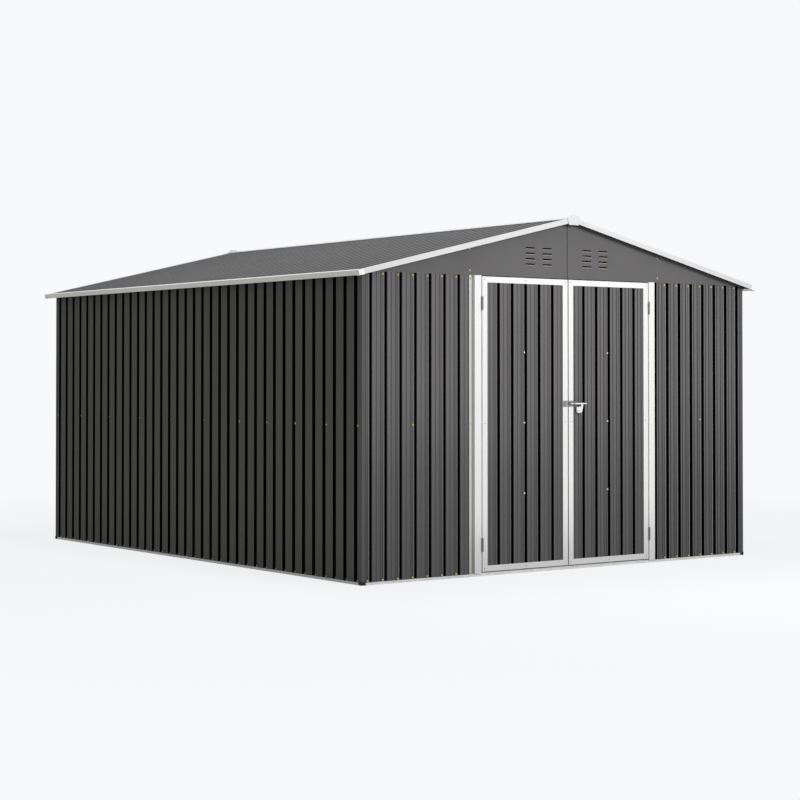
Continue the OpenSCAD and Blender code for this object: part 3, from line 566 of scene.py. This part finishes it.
def add_head(mesh, spot, outward, radius, height, turn):
    """A pan head with a cross recess, seated on a surface at spot."""
    seat = Matrix.Translation(spot) @ outward.to_track_quat("Z", "Y").to_matrix().to_4x4()
    seat = seat @ Matrix.Rotation(turn, 4, "Z")
    arm, slot = CROSS_ARM * radius, CROSS_SLOT * radius

    def ring(share, level):
        angles = (math.radians(FIRST_CORNER + 360 / HEAD_SIDES * k) for k in range(HEAD_SIDES))
        return [mesh.verts.new(seat @ Vector((
            share * radius * math.cos(a), share * radius * math.sin(a), level * height))) for a in angles]

    def cross(share, level):
        points = []
        for quarter in range(4):
            spin = Matrix.Rotation(math.radians(90 * quarter), 4, "Z")
            for x, y in ((arm, slot), (slot, slot), (slot, arm)):
                corner = spin @ Vector((share * x, share * y, level * height))
                points.append(mesh.verts.new(seat @ corner))
        return points

    def band(lower, upper):
        for k in range(len(lower)):
            after = (k + 1) % len(lower)
            mesh.faces.new((lower[k], lower[after], upper[after], upper[k]))

    rings = [ring(*shares) for shares in HEAD_RINGS]
    for lower, upper in zip(rings, rings[1:]):
        band(lower, upper)
    rim, floor = cross(*CROSS_RIM), cross(*CROSS_FLOOR)
    top = rings[-1]
    for k in range(len(rim)):
        after = (k + 1) % len(rim)
        outer = [top[2 * k], top[2 * k + 1], top[(2 * k + 2) % HEAD_SIDES]]
        mesh.faces.new((outer[0], outer[1], rim[k]))
        mesh.faces.new((outer[1], outer[2], rim[after], rim[k]))
    band(rim, floor)
    for loop, level, order in ((floor, CROSS_FLOOR[1], 1), (rings[0], 0, -1)):
        centre = mesh.verts.new(seat @ Vector((0, 0, level * height)))
        for k in range(len(loop)):
            pair = (loop[k], loop[(k + 1) % len(loop)])[::order]
            mesh.faces.new((*pair, centre))


def screws(name, spots, size, finish, body):
    """One piece that holds many like screw heads. Each spot is a point and the way it faces."""
    mesh = bmesh.new()
    for k, (spot, outward) in enumerate(spots):
        add_head(mesh, Vector(spot), Vector(outward), *size, k * GOLDEN_TURN)
    bmesh.ops.recalc_face_normals(mesh, faces=mesh.faces)
    for face in mesh.faces:
        face.smooth = True
    data = bpy.data.meshes.new(name)
    mesh.to_mesh(data)
    mesh.free()
    data.set_sharp_from_angle(angle=SHARP_ANGLE)
    piece = bpy.data.objects.new(name, data)
    bpy.context.scene.collection.objects.link(piece)
    data.materials.append(finish)
    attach(piece, body)


# Radius and height of each kind of screw head
WALL_SCREW, PANEL_SCREW = (0.0055, 0.0030), (0.0052, 0.0028)
FRAME_SCREW, PLATE_SCREW = (0.0034, 0.0016), (0.0026, 0.0012)
FRONT, BACK, LEFT, RIGHT = (0, -1, 0), (0, 1, 0), (-1, 0, 0), (1, 0, 0)
# Wall screws sit beside the grooves at a sheet's foot and head, and on the mid rails at the places below
BESIDE_GROOVE = 0.0185
FOOT_Z, MID_Z, HEAD_Z = 0.022, 0.848, 1.660
MID_FRONT_X = (-1.115, 1.081)
MID_BACK_X = [-1.12 + 4 * GROOVE_PITCH * k for k in range(7)]
MID_SIDE_Y = (-1.772, -1.474, -1.166, -0.871, -0.574, -0.176, 0.226, 0.628, 1.030, 1.432, 1.772)
GABLE_SCREW_X, GABLE_SCREW_Z = 0.722, (1.699, 1.820)
FLANGE_SCREW_X, FLANGE_SCREW_Z = -0.7185, (FOOT_Z, MID_Z, 1.655)
# On the side walls the screws take a darker plating that paints their shade, apart from those on the mid
# rail in front of this place
SHADED_FROM_Y = -0.5
# The front's left end groove is left out here, because it has a screw at its foot alone
front_grooves = [-FRONT_GROOVE_X - GROOVE_PITCH * k for k in reversed(range(FRONT_GROOVES - 1))]
front_grooves += [FRONT_GROOVE_X + GROOVE_PITCH * k for k in range(FRONT_GROOVES)]
side_grooves = [SIDE_GROOVE_Y + GROOVE_PITCH * k for k in range(SIDE_GROOVES)]
back_grooves = [-END_GROOVE_X + BACK_PITCH * k for k in range(BACK_GROOVES)]

wall_spots, shaded_spots = [], []
wall_spots += [((x - BESIDE_GROOVE, FRONT_PAN, z), FRONT) for x in front_grooves for z in (FOOT_Z, HEAD_Z)]
wall_spots.append(((-END_GROOVE_X - BESIDE_GROOVE, FRONT_PAN, FOOT_Z), FRONT))
wall_spots += [((x, FRONT_PAN, MID_Z), FRONT) for x in MID_FRONT_X]
wall_spots += [((x - BESIDE_GROOVE, BACK_PAN, z), BACK) for x in back_grooves for z in (FOOT_Z, HEAD_Z)]
wall_spots += [((x, BACK_PAN, MID_Z), BACK) for x in MID_BACK_X]
for side, way in ((-SIDE_PAN, LEFT), (SIDE_PAN, RIGHT)):
    shaded_spots += [((side, y - BESIDE_GROOVE, z), way) for y in side_grooves for z in (FOOT_Z, HEAD_Z)]
    wall_spots += [((side, y, MID_Z), way) for y in MID_SIDE_Y if y < SHADED_FROM_Y]
    shaded_spots += [((side, y, MID_Z), way) for y in MID_SIDE_Y if y > SHADED_FROM_Y]
for end in (FRONT, BACK):
    wall_spots += [
        ((x, end[1] * GABLE_FACE, z), end) for x in (-GABLE_SCREW_X, GABLE_SCREW_X) for z in GABLE_SCREW_Z]
wall_spots += [((FLANGE_SCREW_X, WALL_FACE, z), FRONT) for z in FLANGE_SCREW_Z]
screws("wall_screws", wall_spots, WALL_SCREW, lemon_plating, "shed")
screws("shaded_side_screws", shaded_spots, WALL_SCREW, shaded_lemon_plating, "shed")

# Door screws, with places along X measured from the middle of the doorway
PANEL_SCREW_X, PANEL_SCREW_Z = {"left": 0.330, "right": 0.308}, (0.449, 0.848, 1.247)
FRAME_SCREW_X, FRAME_SCREW_Z = (0.019, 0.320, 0.621), (0.040, 1.652)
STILE_SCREW_X = (0.021, 0.619)
PLATE_SCREW_X, PLATE_SCREW_Z = {"left": (0.010, 0.0225), "right": (0.0225,)}, (0.939, 0.967)
for side, name in ((-1, "left"), (1, "right")):
    panel_spots = [((side * PANEL_SCREW_X[name], DOOR_PAN, z), FRONT) for z in PANEL_SCREW_Z]
    frame_spots = [((side * x, DOOR_FACE, z), FRONT) for x in FRAME_SCREW_X for z in FRAME_SCREW_Z]
    frame_spots += [((side * x, DOOR_FACE, MID_Z), FRONT) for x in STILE_SCREW_X]
    plate_spots = [
        ((side * x, BOLT_PLATE_FACE, z), FRONT) for x in PLATE_SCREW_X[name] for z in PLATE_SCREW_Z]
    door = f"{name}_door"
    screws(f"{door}_panel_screws", panel_spots, PANEL_SCREW, white_screw_coat, door)
    screws(f"{door}_frame_screws", frame_spots, FRAME_SCREW, grey_plating, door)
    screws(f"{name}_bolt_plate_screws", plate_spots, PLATE_SCREW, grey_plating, door)

scene = bpy.context.scene
scene.view_settings.view_transform = "Standard"

SOFT_LIGHT = 0.46
world = bpy.data.worlds.new("studio")
scene.world = world
sky = Finish(world)
soft_light = sky.add("ShaderNodeBackground", None, {"Color": grey(1), "Strength": SOFT_LIGHT})
backdrop = sky.add("ShaderNodeBackground", None, {"Color": BACKDROP, "Strength": 1.0})
sky.close(sky.blend(sky.shown(), soft_light, backdrop), "ShaderNodeOutputWorld")

# Studio floor: near the shed it takes shadow over a glow, further out it has the backdrop's colour, and it
# is plain inside the shed and for light that bounces off it
FLOOR_RADIUS, FLOOR_SIDES, FLOOR_Z = 60.0, 96, -0.0005
NEAR_FADE = (2.5, 7.0)
SHADOW_SHARE, BOUNCE_SHARE = 0.12, 0.55
floor_mesh = bmesh.new()
bmesh.ops.create_circle(floor_mesh, cap_ends=True, segments=FLOOR_SIDES, radius=FLOOR_RADIUS)
floor_data = bpy.data.meshes.new("studio_floor")
floor_mesh.to_mesh(floor_data)
floor_mesh.free()
floor = bpy.data.objects.new("studio_floor", floor_data)
scene.collection.objects.link(floor)
floor.location.z = FLOOR_Z
ground = new_finish("studio_floor_white")
away = ground.add("ShaderNodeVectorMath", {"operation": "LENGTH"}, {0: ground.place()}, "Value")
near = 1 - ground.step(away, *NEAR_FADE)
floor_x, floor_y, _ = ground.axes(ground.place())
indoors = (abs(floor_x) < SIDE_PAN) * (abs(floor_y) < BACK_PAN)
shadow_coat = ground.add("ShaderNodeBsdfDiffuse", None, {"Color": grey(SHADOW_SHARE)})
bounce_coat = ground.add("ShaderNodeBsdfDiffuse", None, {"Color": grey(BOUNCE_SHARE)})
near_glow = ground.add("ShaderNodeEmission", None, {
    "Color": rgba(*(channel - SHADOW_SHARE for channel in BACKDROP[:3])), "Strength": 1.0})
far_glow = ground.add("ShaderNodeEmission", None, {"Color": BACKDROP, "Strength": 1.0})
near_floor = ground.add("ShaderNodeAddShader", None, {0: shadow_coat, 1: near_glow})
outdoors = ground.blend(near, far_glow, near_floor)
shown_floor = ground.blend(indoors, outdoors, bounce_coat)
floor_data.materials.append(ground.close(ground.blend(ground.shown(), bounce_coat, shown_floor)))


def lamp(name, place, aim, size, power):
    """A soft rectangular lamp that points at aim."""
    data = bpy.data.lights.new(name, "AREA")
    data.shape = "RECTANGLE"
    data.size, data.size_y = size
    data.energy = power
    light = bpy.data.objects.new(name, data)
    light.location = place
    light.rotation_euler = (Vector(aim) - Vector(place)).to_track_quat("-Z", "Y").to_euler()
    light.visible_camera = False
    scene.collection.objects.link(light)


lamp("key_lamp", place=(0.25, -5.0, 2.4), aim=(0.0, -1.8, 1.5), size=(2.6, 0.9), power=83)
lamp("top_lamp", place=(-0.9, -0.6, 6.0), aim=(-0.9, -0.6, 1.8), size=(0.9, 2.0), power=104)

# The camera was fitted to the photo's edges
camera = bpy.data.cameras.new("camera")
camera.sensor_width = 36.0
camera.lens = 84.614
camera.shift_y = -0.0677
viewer = bpy.data.objects.new("camera", camera)
viewer.location = (-7.2475, -9.952, 1.1075)
viewer.rotation_euler = (math.radians(90.947), 0, math.radians(-36.5797))
scene.collection.objects.link(viewer)
scene.camera = viewer
